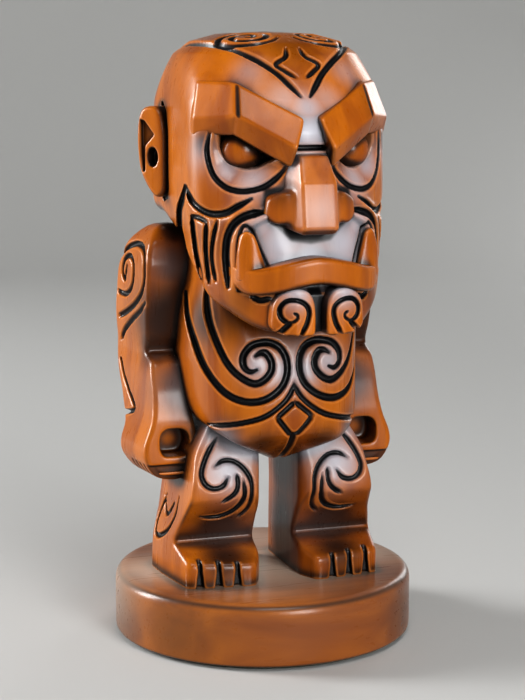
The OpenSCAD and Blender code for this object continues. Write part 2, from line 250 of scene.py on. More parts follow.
def softened(outline, reach, steps=3):
    """An outline with each corner replaced by a short curve that starts reach before it."""
    points = [np.array(point, float) for point in outline]
    result = []
    for before, corner, after in zip(points[-1:] + points[:-1], points, points[1:] + points[:1]):
        enter = corner + (before - corner) * min(reach / np.linalg.norm(before - corner), 0.45)
        leave = corner + (after - corner) * min(reach / np.linalg.norm(after - corner), 0.45)
        for s in np.linspace(0, 1, steps + 1):
            result.append((1 - s) ** 2 * enter + 2 * s * (1 - s) * corner + s * s * leave)
    return result


def outline_distance(outline, p, q):
    """Signed distance in a plane from the points p, q to a closed outline."""
    nearest = np.full(np.broadcast(p, q).shape, 1e9, np.float32)
    inside = np.zeros(nearest.shape, bool)
    for (p0, q0), (p1, q1) in zip(outline, list(outline[1:]) + [outline[0]]):
        dp = p1 - p0
        dq = q1 - q0
        along = np.clip(((p - p0) * dp + (q - q0) * dq) / (dp * dp + dq * dq), 0, 1)
        nearest = np.minimum(nearest, (p - p0 - along * dp) ** 2 + (q - q0 - along * dq) ** 2)
        if dq != 0:
            inside ^= ((q0 <= q) != (q1 <= q)) & (p < p0 + (q - q0) * dp / dq)
    return np.where(inside, -1, 1).astype(np.float32) * np.sqrt(nearest)


def smooth_max(a, b, reach):
    """The larger of two fields, rounded where they meet: cuts a solid by another one's outside."""
    blend = np.maximum(reach - np.abs(a - b), 0) / reach
    return np.maximum(a, b) + blend * blend * (reach / 4)


def smooth_min(a, b, reach):
    """The smaller of two fields, rounded where they meet: joins two solids."""
    return -smooth_max(-a, -b, reach)


def slabs(space, front, side, top, corner, edge, plan_corner=None):
    """The solid where a front, a side and a top outline all agree."""
    solid = outline_distance(softened(front, corner), space.x, space.z)
    solid = smooth_max(solid, outline_distance(softened(side, corner), space.y, space.z), edge)
    plan = softened(top, plan_corner or corner, 5)
    return smooth_max(solid, outline_distance(plan, space.x, space.y), edge)


def hull_planes(corners):
    """Outward unit normals and offsets of the faces of the convex hull of a few corners."""
    points = np.array(corners, float)
    planes = {}
    for i, j, k in itertools.combinations(range(len(points)), 3):
        normal = np.cross(points[j] - points[i], points[k] - points[i])
        length = np.linalg.norm(normal)
        if length < 1e-6:
            continue
        normal = normal / length
        heights = points @ normal - points[i] @ normal
        for sign in (1, -1):
            if (sign * heights).max() < 1e-4:
                planes[tuple(np.round(sign * normal, 4))] = sign * (points[i] @ normal)
    return planes.items()


def eased(space, solid, reach):
    """A solid with every edge rounded over about reach."""
    cells = round(reach / space.step)
    return blurred(solid, cells) if cells else solid


def faceted(space, corners, edge):
    """The convex solid between a few corners, with its edges rounded."""
    solid = np.full(np.broadcast(space.x, space.y, space.z).shape, -1e3, np.float32)
    for (nx, ny, nz), offset in hull_planes(corners):
        solid = np.maximum(solid, nx * space.x + ny * space.y + nz * space.z - offset)
    return eased(space, solid, edge)


def ellipsoid(space, centre, radii):
    """Near enough the distance to an ellipsoid."""
    scaled = [(axis - c) / r for axis, c, r in zip((space.x, space.y, space.z), centre, radii)]
    length = np.sqrt(scaled[0] ** 2 + scaled[1] ** 2 + scaled[2] ** 2)
    return (length - 1) * min(radii)


def rod(space, start, end, radius):
    """A round rod between two points."""
    start = np.array(start, np.float32)
    line = np.array(end, np.float32) - start
    px = space.x - start[0]
    py = space.y - start[1]
    pz = space.z - start[2]
    along = np.clip((px * line[0] + py * line[1] + pz * line[2]) / (line @ line), 0, 1)
    squared = (px - along * line[0]) ** 2 + (py - along * line[1]) ** 2 + (pz - along * line[2]) ** 2
    return np.sqrt(squared) - radius


def curve_through(points, steps=6):
    """A smooth curve through points, as a list of short straight runs."""
    points = [np.array(point, float) for point in points]
    points = [2 * points[0] - points[1]] + points + [2 * points[-1] - points[-2]]
    result = []
    for a, b, c, d in zip(points, points[1:], points[2:], points[3:]):
        for s in np.linspace(0, 1, steps, endpoint=False):
            result.append(0.5 * (2 * b + (c - a) * s + (2 * a - 5 * b + 4 * c - d) * s * s
                                 + (3 * b - a - 3 * c + d) * s ** 3))
    return result + [points[-2]]


class Plate:
    """A flat map of carved depth that is pressed into a solid."""

    def __init__(self, low, high, step=0.3):
        self.low = np.array(low, float)
        self.step = step
        self.p, self.q = np.ix_(*[np.arange(a, b, step) for a, b in zip(low, high)])
        self.depths = np.zeros((self.p.size, self.q.size), np.float32)

    def line(self, points, half_width, depth):
        """Carve a line with a round bottom, narrowing towards both of its ends."""
        curve = curve_through(points)
        last = len(curve) - 1
        for i, ((p0, q0), (p1, q1)) in enumerate(zip(curve, curve[1:])):
            to_end = min(i, last - 1 - i) / max(last, 1)
            taper = 0.55 + 0.45 * min(to_end / 0.12, 1)
            half = half_width * taper
            reach = half * 2.2
            lowest = np.array([min(p0, p1), min(q0, q1)]) - reach
            highest = np.array([max(p0, p1), max(q0, q1)]) + reach
            i0, j0 = np.floor((lowest - self.low) / self.step).astype(int)
            i1, j1 = np.ceil((highest - self.low) / self.step).astype(int)
            rows = slice(max(i0, 0), max(i1, 0))
            columns = slice(max(j0, 0), max(j1, 0))
            p = self.p[rows] - p0
            q = self.q[:, columns] - q0
            length = max((p1 - p0) ** 2 + (q1 - q0) ** 2, 1e-9)
            along = np.clip((p * (p1 - p0) + q * (q1 - q0)) / length, 0, 1)
            distance = np.hypot(p - along * (p1 - p0), q - along * (q1 - q0)) / half
            cut = depth * taper * (np.clip(1 - distance ** 2, 0, 1) ** 0.8 + 0.1 * np.exp(-distance ** 2))
            window = self.depths[rows, columns]
            np.maximum(window, cut.astype(np.float32), out=window)

    def dish(self, outline, depth, slope):
        """Sink the inside of an outline by depth, reached over slope."""
        inside = np.clip(-outline_distance(outline, self.p, self.q) / slope, 0, 1)
        self.depths = self.depths + (depth * inside * inside * (3 - 2 * inside)).astype(np.float32)

    def lines(self, rows):
        """Carve several lines, each given as (points, half width, depth)."""
        for points, half_width, depth in rows:
            self.line(points, half_width, depth)
        return self

    def sample(self, p, q):
        """Depth at plate coordinates, read between the map's points."""
        fp = (p - self.low[0]) / self.step
        fq = (q - self.low[1]) / self.step
        rows, columns = self.depths.shape
        within = (fp >= 0) & (fp < rows - 1) & (fq >= 0) & (fq < columns - 1)
        fp = np.clip(fp, 0, rows - 1.001)
        fq = np.clip(fq, 0, columns - 1.001)
        ip = fp.astype(np.int32)
        iq = fq.astype(np.int32)
        fp = (fp - ip).astype(np.float32)
        fq = (fq - iq).astype(np.float32)
        low = self.depths[ip, iq] * (1 - fp) + self.depths[ip + 1, iq] * fp
        high = self.depths[ip, iq + 1] * (1 - fp) + self.depths[ip + 1, iq + 1] * fp
        return (low * (1 - fq) + high * fq) * within


def spiral(centre, start, end, turns, first_angle, squash=1.0, steps=14):
    """Points of a flat spiral between two radii. squash flattens it along the second axis."""
    points = []
    for s in np.linspace(0, 1, int(steps * turns)):
        angle = math.radians(first_angle) + 2 * math.pi * turns * s
        radius = start + (end - start) * s
        points.append((centre[0] + radius * math.cos(angle), centre[1] + squash * radius * math.sin(angle)))
    return points


def ramp(field, low, high):
    """0 below low, 1 above high and smooth between."""
    t = np.clip((field - low) / (high - low), 0, 1)
    return t * t * (3 - 2 * t)


FACE_PLATE = Plate((-52, 160), (32, 262)).lines(CHEEK_LINES)
FACE_PLATE.line(*MOUTH_LINE)
FACE_PLATE.line(*UNDER_LIP_LINE)
FACE_PLATE.line(EYE_RING, 1.6, 2.2)
MUZZLE_PLATE = Plate((-20, 180), (32, 226))
MUZZLE_PLATE.dish(softened(MUZZLE_DISH, 3), 3.2, 3)
TUSK_PLATE = Plate((-16, 184), (10, 218)).lines([TUSK_LINE])
EYE_PLATE = Plate((-32, 222), (20, 268))
EYE_PLATE.dish(softened(EYE_RING + EYE_ROOF, 2), 4.5, 9)
LID_PLATE = Plate((-32, 222), (20, 268))
LID_PLATE.dish(softened(EYE_LID, 1.5), 10, 2.0)
CROWN_PLATE = Plate((-4, 138), (60, 230)).lines(CROWN_LINES)
CROWN_PLATE.line(spiral(CROWN_SPIRAL_CENTRE, 15.5, 2.5, 2.2, -160, squash=0.72), 1.7, 2.0)
BELLY_PLATE = Plate((-48, 88), (22, 196)).lines(BELLY_LINES)
KNEE_PLATE = Plate((-40, 56), (0, 114)).lines(KNEE_LINES)
CALF_PLATE = Plate((-20, 44), (20, 80)).lines(CALF_LINES)
SHOULDER_PLATE = Plate((-4, 138), (50, 204)).lines(SHOULDER_LINES)
FOREARM_PLATE = Plate((2, 106), (46, 138)).lines(FOREARM_LINES)
CURL_PLATE = Plate((0, 158), (26, 186), step=0.2).lines(CURL_LINES)


def pressed(solid, cut):
    """A solid with a carved depth pressed in, and how darkly each place is stained by it."""
    solid = solid + cut
    return solid, np.broadcast_to(np.clip(cut / GROOVE_STAIN_DEPTH, 0, 1), solid.shape)


def head_blocks(space):
    """The cranium, the jaw and the muzzle, joined and still without any carving."""
    cranium = slabs(space, mirrored(CRANIUM_FRONT), CRANIUM_SIDE, mirrored(CRANIUM_TOP), 7, 7)
    from_centre = space.y - CROWN_CENTRE_Y
    from_axis = np.hypot(space.x, from_centre * np.where(from_centre < 0, CROWN_STRETCH, 1))
    cranium = smooth_max(cranium, outline_distance(CROWN_PROFILE, from_axis, space.z), 6)
    jaw = slabs(space, mirrored(JAW_FRONT), JAW_SIDE, mirrored(JAW_TOP), 5, 5)
    muzzle = slabs(space, mirrored(MUZZLE_FRONT), MUZZLE_SIDE, mirrored(MUZZLE_TOP), 4, 4)
    return smooth_min(smooth_min(cranium, jaw, 5), muzzle, 2)


def crease_beside_ear(space):
    """Depth of the crease that runs round the foot of an ear."""
    along, out, up = ear_axes(space)
    beside_ear = np.abs(outline_distance(EAR_OUTLINE, along, up) - 0.6)
    return 1.6 * (1 - ramp(beside_ear, 0.4, 1.6)) * (space.away > 42) * (along < 15)


def slot_above_nose(space):
    """Depth of the short level slot between the brows."""
    slot = np.maximum(space.away - 7.5, np.maximum(np.abs(space.z - 249.5) - 1.0, space.y + 50))
    return 4 * (1 - ramp(slot, -0.3, 0.5))


def head_lines(space):
    """Depth of every carved line on the head."""
    facing = 1 - ramp(space.depth, -16, -8)
    top = ramp(space.z, 262, 268)
    cut = FACE_PLATE.sample(space.across, space.z) * facing
    cut = np.maximum(cut, crease_beside_ear(space))
    cut = np.maximum(cut, CROWN_PLATE.sample(space.away, (space.y + space.z) * CROWN_TILT) * top)
    on_muzzle = (space.depth < -50) * (space.z > 186)
    cut = np.maximum(cut, TUSK_PLATE.sample(space.across, space.z) * on_muzzle)
    return np.maximum(cut, slot_above_nose(space))


def head_form(space):
    """The carved head, and how dark each place is made: stained lines, the gap round each eyeball, and
    painted shade round the foot of the nose and between the chin curls. Every form returns these two.
    """
    solid = head_blocks(space)
    lid = LID_PLATE.sample(space.across, space.z) * (space.depth < -20)
    solid = solid + EYE_PLATE.sample(space.across, space.z) * (space.depth < -20) + lid
    solid = solid + MUZZLE_PLATE.sample(space.across, space.z) * (space.depth < -40)
    solid, stain_and_shade = pressed(solid, head_lines(space))
    in_front = space.y < -60
    nose_shade = outline_distance(NOSE_SHADE, space.away, space.z)
    between_curls = np.maximum(space.away - 3.5, space.z - 187)
    stain_and_shade = np.maximum(stain_and_shade, SOCKET_DARKNESS * ramp(lid, 2, 7))
    # Painted shade round the foot of the nose.
    stain_and_shade = np.maximum(stain_and_shade, NOSE_PAINTED_SHADE * (1 - ramp(nose_shade, 0, 4)) * in_front)
    # Painted shade in the gap between the chin curls.
    return solid, np.maximum(stain_and_shade, CHIN_GAP_PAINTED_SHADE * (1 - ramp(between_curls, -1, 1)) * in_front)


def brow_form(space):
    inner = faceted(space, BROW_INNER, 1.0)
    outer = faceted(space, BROW_OUTER, 1.0)
    solid = smooth_min(inner, outer, 0.8)
    notch = rod(space, (31.6, -56.9, 281), (33.9, -66.5, 263), 1.15)
    return smooth_max(solid, -notch, 0.8), ramp(-notch, -1.2, 0.4)


def nose_form(space):
    bridge = faceted(space, both(NOSE_BRIDGE), 1.0)
    wing = faceted(space, NOSE_WING, 2.0)
    wing_other = faceted(space, [(-x, y, z) for x, y, z in NOSE_WING], 2.0)
    solid = smooth_min(bridge, smooth_min(wing, wing_other, 1), 2.2)
    return solid, np.zeros_like(solid)


def both(corners):
    """Corners on the +X side together with their mirror images."""
    return list(corners) + [(-x, y, z) for x, y, z in corners]


def eye_form(space):
    centre = EYE_CENTRE + (0, EYE_SINK, EYE_RISE)
    ball = ellipsoid(space, centre, [EYE_RADIUS * part for part in EYE_SHAPE])
    return ball, np.zeros_like(ball)


def tusk_form(space):
    solid = faceted(space, TUSK_CORNERS, 1.5)
    return solid, np.zeros_like(solid)


def lip_form(space):
    wave = curve_through(LIP_UPPER, 3) + curve_through(LIP_LOWER, 3)
    bar = outline_distance(softened(wave, 1.5), space.x, space.z)
    plan = softened(mirrored(LIP_TOP), 12, 6)
    solid = smooth_max(bar, outline_distance(plan, space.x, space.y), 3)
    return solid, np.zeros_like(solid)


def curl_form(space):
    plate = outline_distance(softened(CURL_FRONT, 3), space.x, space.z)
    solid = smooth_max(plate, outline_distance(softened(CURL_TOP, 1), space.x, space.y), 2)
    return pressed(solid, CURL_PLATE.sample(space.x, space.z))


def ear_axes(space):
    """Along the ear towards its outer rim, out of its face and up, from the middle of the ear."""
    along = (space.away - EAR_PLACE[0]) * math.cos(EAR_TURN) + (space.y - EAR_PLACE[1]) * math.sin(EAR_TURN)
    out = (space.away - EAR_PLACE[0]) * math.sin(EAR_TURN) - (space.y - EAR_PLACE[1]) * math.cos(EAR_TURN)
    return along, out, space.z - EAR_PLACE[2]


def ear_form(space):
    along, out, up = ear_axes(space)
    slab = np.abs(out + EAR_THICKNESS / 2) - EAR_THICKNESS / 2
    slab = smooth_max(outline_distance(softened(EAR_OUTLINE, 5), along, up), slab, 2.5)
    recess = outline_distance(softened(EAR_RECESS, 0.8), along, up)
    recess = np.maximum(recess, -3.2 - out)
    hole = (np.hypot((along - 14.2) / 3.2, (up + 2.3) / 4.6) - 1) * 3.2
    hole = np.maximum(hole, -6 - out)
    solid = smooth_max(smooth_max(slab, -recess, 0.8), -hole, 1.2)
    # The ear's recess and hole, and the face turned to the head, are darkened with painted shade.
    stain_and_shade = np.maximum(0.5 * ramp(-recess, -0.4, 1.0), ramp(-hole, -1.0, 0.6))
    return solid, np.maximum(stain_and_shade, 0.9 * ramp(-out, 5, 7))


def torso_form(space):
    solid = slabs(space, mirrored(TORSO_FRONT), TORSO_SIDE, mirrored(TORSO_TOP), 5, 4, plan_corner=30)
    facing = 1 - ramp(space.depth, -16, -8)
    cut = BELLY_PLATE.sample(space.across, space.z) * facing
    stem = np.maximum(space.away - 0.4, np.maximum(space.z - 110, space.y + 12))
    return pressed(solid, np.maximum(cut, 2.0 * (1 - ramp(stem, 0.3, 1.7))))


def arm_form(space):
    solid = outline_distance(softened(ARM_FRONT, 5), space.x - ARM_SPLAY * (space.y - 2), space.z)
    solid = smooth_max(solid, outline_distance(softened(ARM_SIDE, 2.5), space.y, space.z), 2.5)
    outer = ramp(space.x, 54, 58) * (1 - ramp(space.y, 38, 41))
    cut = SHOULDER_PLATE.sample(space.y, space.z) * outer
    cut = np.maximum(cut, FOREARM_PLATE.sample(space.y, space.z) * outer)
    solid, stain_and_shade = pressed(solid, cut)
    hollow = smooth_max(np.abs(space.x - 50) - 7.6, np.abs(space.z - 101.5) - 7.4, 7)
    hollow = smooth_max(hollow, space.y - 1, 2)
    hollow = smooth_max(hollow, 94.8 - space.z, 1)
    fingers = np.abs(((space.y + 40) % 5) - 2.5) - 0.6
    fingers = np.maximum(np.maximum(fingers, space.z - 91), np.maximum(space.y - 9, -1.5 - solid))
    solid = smooth_max(smooth_max(solid, -hollow, 1.2), -fingers, 0.8)
    # The fist's hollow is darkened with painted shade.
    return solid, np.maximum(stain_and_shade, np.maximum(0.5 * ramp(-hollow, -0.5, 1.0), ramp(-fingers, -0.5, 0.4)))


def leg_form(space):
    solid = slabs(space, LEG_FRONT, LEG_SIDE, LEG_TOP, 3, 3)
    solid = np.maximum(solid, BASE_TOP - 0.3 - space.z)
    facing = 1 - ramp(space.depth, -26, -20)
    facing = facing * ramp(space.z, 56, 60) * ramp(space.x, 14.5, 16.5)
    cut = KNEE_PLATE.sample(space.across, space.z) * facing
    cut = np.maximum(cut, CALF_PLATE.sample(space.y, space.z) * ramp(space.x, 42, 45))
    solid, stain_and_shade = pressed(solid, cut)
    toes = np.full(solid.shape, 50, np.float32)
    for toe in range(3):
        middle = 25 + 9.3 * toe
        gap = np.abs(space.x - middle) - 1.0 - 0.12 * (BASE_TOP + 8 - space.z).clip(0, 8)
        gap = np.maximum(gap, space.y + 34.5 - 0.15 * (middle - 25) - 0.7 * (space.z - 44).clip(0, 6))
        gap = np.maximum(gap, space.z - 48)
        toes = np.minimum(toes, gap)
    return smooth_max(solid, -toes, 0.8), np.maximum(stain_and_shade, ramp(-toes, -0.8, 0.4))


def base_form(space):
    from_axis = np.hypot(space.x, space.y)
    disc = smooth_max(from_axis - BASE_RADIUS, space.z - BASE_TOP, 6)
    disc = smooth_max(disc, BASE_LOW[2] - space.z, 2.5)
    return disc, np.zeros_like(disc)


def vdb_mesh(solid):
    """Vertices in grid coordinates and outward quads of a solid's surface."""
    grid = openvdb.FloatGrid(10.0)
    grid.copyFromArray(np.ascontiguousarray(solid, dtype=np.float32), tolerance=0.0)
    vertices, quads = grid.convertToQuads(0.0)
    return vertices.astype(np.float64), quads


def between(volume, index):
    """Values of a volume at fractional grid coordinates."""
    index = np.clip(index, 0, np.array(volume.shape) - 1.001)
    base = index.astype(np.int64)
    part = index - base
    value = np.zeros(len(index))
    for corner in itertools.product((0, 1), repeat=3):
        weight = np.ones(len(index))
        for axis in range(3):
            weight = weight * (part[:, axis] if corner[axis] else 1 - part[:, axis])
        at = base + corner
        value += weight * volume[at[:, 0], at[:, 1], at[:, 2]]
    return value


def blurred(volume, reach):
    """A volume averaged over a small cube."""
    for axis in range(3):
        total = volume.copy()
        for shift in range(1, reach + 1):
            total += np.roll(volume, shift, axis)
            total += np.roll(volume, -shift, axis)
        volume = total / (2 * reach + 1)
    return volume


# name: (form, lowest corner, highest corner, step). Side pieces are named without their side.
WHOLE = {
    "head": (head_form, (-56, -86, 158), (56, 52, 308), FINE),
    "torso": (torso_form, (-50, -58, 90), (50, 44, 220), FINE),
    "nose": (nose_form, (-25, -90, 206), (25, -58, 252), SMALL),
    "lower_lip": (lip_form, (-40, -88, 173), (40, -50, 202), SMALL),
}
SIDED = {
    "brow": (brow_form, (0, -82, 236), (52, -20, 285), SMALL),
    "eye": (eye_form, tuple(EYE_LOW - 2), tuple(EYE_HIGH + 2), SMALL),
    "tusk": (tusk_form, (17, -80, 185), (39, -58, 216), SMALL),
    "chin_curl": (curl_form, (1, -90, 161), (26, -64, 187), 0.4),
    "ear": (ear_form, (40, -12, 219), (68, 18, 271), SMALL),
    "arm": (arm_form, (34, -17, 76), (71, 47, 211), FINE),
    "leg": (leg_form, (4, -43, 29), (62, 31, 130), FINE),
}
# Places given a painted sheen, a pale colour standing in for reflected light, on the +X side: (centre,
# reach, strength).
PAINTED_SHEEN_PLACES = {
    "head": [((24, -72, 213), 8, 0.8), ((15, -76, 206), 14, 1.0), ((0, -74, 200), 12, 1.0),
             ((0, -70, 257), 10, 1.0), ((0, -66, 267), 8, 0.7), ((24, -52, 284), 8, 0.3),
             ((10, -64, 272), 8, 0.35), ((24, -60, 233), 9, 0.7), ((35, -53, 240), 7, 0.6),
             ((44, -44, 246), 8, 0.4)],
    "nose": [((12, -70, 240), 7, 0.5), ((0, -87, 222), 9, 0.3)],
    "torso": [((4, -50, 142), 9, 0.9), ((18, -46, 145), 8, 0.8), ((30, -38, 108), 7, 0.4)],
    "chin_curl": [((12, -87, 184), 7, 0.8)],
    "leg": [((28, -32, 92), 12, 0.9), ((20, -27, 104), 13, 0.9), ((34, -24, 106), 9, 0.6),
            ((10, 2, 60), 26, 0.1), ((10, 2, 90), 26, 0.1)],
    "arm": [((50, -6, 128), 13, 0.12), ((48, 2, 190), 8, 0.2)],
    "base_disc": [((0, -6, 32), 40, 1.0), ((52, 6, 32), 26, 0.8), ((0, 50, 32), 34, 0.8)],
}
# Places painted darker, on the +X side: (centre, reach, strength). Mostly painted shade: under the head and
# the belly, on the upper arms and shins, between the legs and on the lower sides of the base; on the crown,
# darker stain.
SHADE_AND_STAIN_PLACES = {
    "head": [((0, 0, 318), 50, 0.6), ((0, -46, 300), 22, 0.45), ((30, -62, 178), 14, 0.5),
             ((38, -54, 206), 18, 0.4), ((43, -46, 251), 7, 0.8), ((22, -66, 246), 8, 0.6)],
    "nose": [((14, -72, 230), 9, 0.7)],
    "torso": [((0, -40, 176), 26, 1.0), ((38, -30, 166), 17, 0.75), ((0, -42, 96), 14, 0.7),
              ((16, -46, 104), 12, 0.7), ((32, -40, 110), 12, 0.65)],
    "leg": [((30, -21, 58), 15, 1.0), ((30, -30, 44), 15, 0.8), ((20, -20, 122), 12, 0.8),
            ((10, 0, 50), 24, 0.9), ((10, 0, 90), 24, 0.9)],
    "arm": [((48, 2, 162), 24, 0.9), ((55, 4, 150), 15, 0.8), ((46, 0, 190), 17, 0.7),
            ((44, -6, 128), 17, 0.8)],
    "base_disc": [((62, -46, 14), 28, 0.5), ((76, 0, 14), 36, 0.6)],
}


def everything(space):
    """Distance to the whole figure, for the shading of its creases."""
    solid = space.z - BASE_TOP + np.zeros_like(space.x + space.y)
    solid = np.maximum(solid, np.hypot(space.x, space.y) - BASE_RADIUS)
    for form, low, high, step in list(WHOLE.values()) + list(SIDED.values()):
        solid = np.minimum(solid, form(space)[0])
    return solid


AROUND = Space((-4, -100, 20), (84, 84, 316), COARSE)
AROUND_DISTANCE = everything(AROUND)


def openness(points, normals):
    """How open the space in front of each point is: 1 in the open and 0 deep in a crease, lowered on faces
    that look down. It sets the painted shade in creases and underneath.
    """
    closed = np.zeros(len(points))
    for reach, weight in ((2.5, 0.3), (5, 0.3), (9, 0.25), (15, 0.15)):
        at = points + normals * reach
        at[:, 0] = np.abs(at[:, 0])
        gap = between(AROUND_DISTANCE, AROUND.index(at))
        closed += weight * np.clip(1 - gap / reach, 0, 1)
    closed += UNDERSIDE_PAINTED_SHADE * np.clip(-normals[:, 2], 0, 1)
    return 1 - np.clip(closed, 0, 1)


def near_places(places, points):
    """How strongly a few places touch each point, the same on both sides of the figure."""
    result = np.zeros(len(points))
    folded = np.abs(points[:, 0])
    for (x, y, z), reach, strength in places:
        squared = (folded - x) ** 2 + (points[:, 1] - y) ** 2 + (points[:, 2] - z) ** 2
        result = np.maximum(result, strength * np.exp(-squared / (reach * reach)))
    return result


def new_mesh(name, points, faces, values, flip):
    """A smooth mesh object in metres that carries named numbers on its vertices."""
    points = points * MM
    if flip:
        points = points * (-1, 1, 1)
        faces = faces[:, ::-1]
    mesh = bpy.data.meshes.new(name)
    mesh.vertices.add(len(points))
    mesh.vertices.foreach_set("co", points.astype(np.float32).ravel())
    mesh.loops.add(faces.size)
    mesh.loops.foreach_set("vertex_index", faces.astype(np.int32).ravel())
    mesh.polygons.add(len(faces))
    mesh.polygons.foreach_set("loop_start", np.arange(0, faces.size, faces.shape[1], dtype=np.int32))
    mesh.polygons.foreach_set("use_smooth", np.ones(len(faces), bool))
    mesh.update()
    mesh.validate()
    for label, numbers in values.items():
        attribute = mesh.attributes.new(label, "FLOAT", "POINT")
        attribute.data.foreach_set("value", numbers.astype(np.float32))
    obj = bpy.data.objects.new(name, mesh)
    bpy.context.scene.collection.objects.link(obj)
    return obj


def carve(name, form, low, high, step):
    """Points, faces and vertex numbers of one piece."""
    space = Space(low, high, step)
    solid, stain_and_shade = form(space)
    vertices, quads = vdb_mesh(solid)
    points = vertices * step + space.low
    gradient = np.stack([between(part, vertices) for part in np.gradient(solid)], 1)
    normals = gradient / np.maximum(np.linalg.norm(gradient, axis=1, keepdims=True), 1e-9)
    reach = max(1, round(1.4 / step))
    edge = between(blurred(solid, reach) - solid, vertices) / (reach * step)
    values = {
        "stain_and_shade": np.clip(between(stain_and_shade, vertices), 0, 1),
        "wear_and_highlight": np.clip(edge * 4, -1, 1),
        "open": openness(points, normals),
        "pale": near_places(PAINTED_SHEEN_PLACES.get(name, []), points),
        "deep": near_places(SHADE_AND_STAIN_PLACES.get(name, []), points),
    }
    return points, quads, values


# Colours of the finish, as linear red, green and blue. Some of them are painted light: shade, a highlight
# on worn edges and a pale sheen.
# Painted shade, with some darker stain, at the listed places.
SHADE_AND_STAIN_BROWN = (0.028, 0.008, 0.002)
# Painted shade in creases and on faces that look down, and its darkest part.
CREASE_SHADE_BROWN = (0.045, 0.013, 0.003)
CREASE_SHADE_BLACK = (0.012, 0.010, 0.009)
# The black of the stained lines, also used for painted shade round the nose, between the chin curls, in the
# ear and in the fist.
LINE_AND_SHADE_BLACK = (0.005, 0.005, 0.006)
# Edges rubbed lighter, which also paints highlights along them.
WORN_EDGE_HIGHLIGHT = (0.66, 0.22, 0.04)
HONEY = (0.50, 0.140, 0.004)
HONEY_GRAIN = (0.27, 0.060, 0.002)
# A silvery painted sheen, standing in for reflected light.
PAINTED_SILVER_SHEEN = (0.44, 0.44, 0.49)
BASE_BROWN = (0.42, 0.125, 0.008)
BASE_GRAIN = (0.20, 0.048, 0.003)
# The base's painted sheen, which makes its top paler.
BASE_PAINTED_SHEEN = (0.66, 0.50, 0.39)


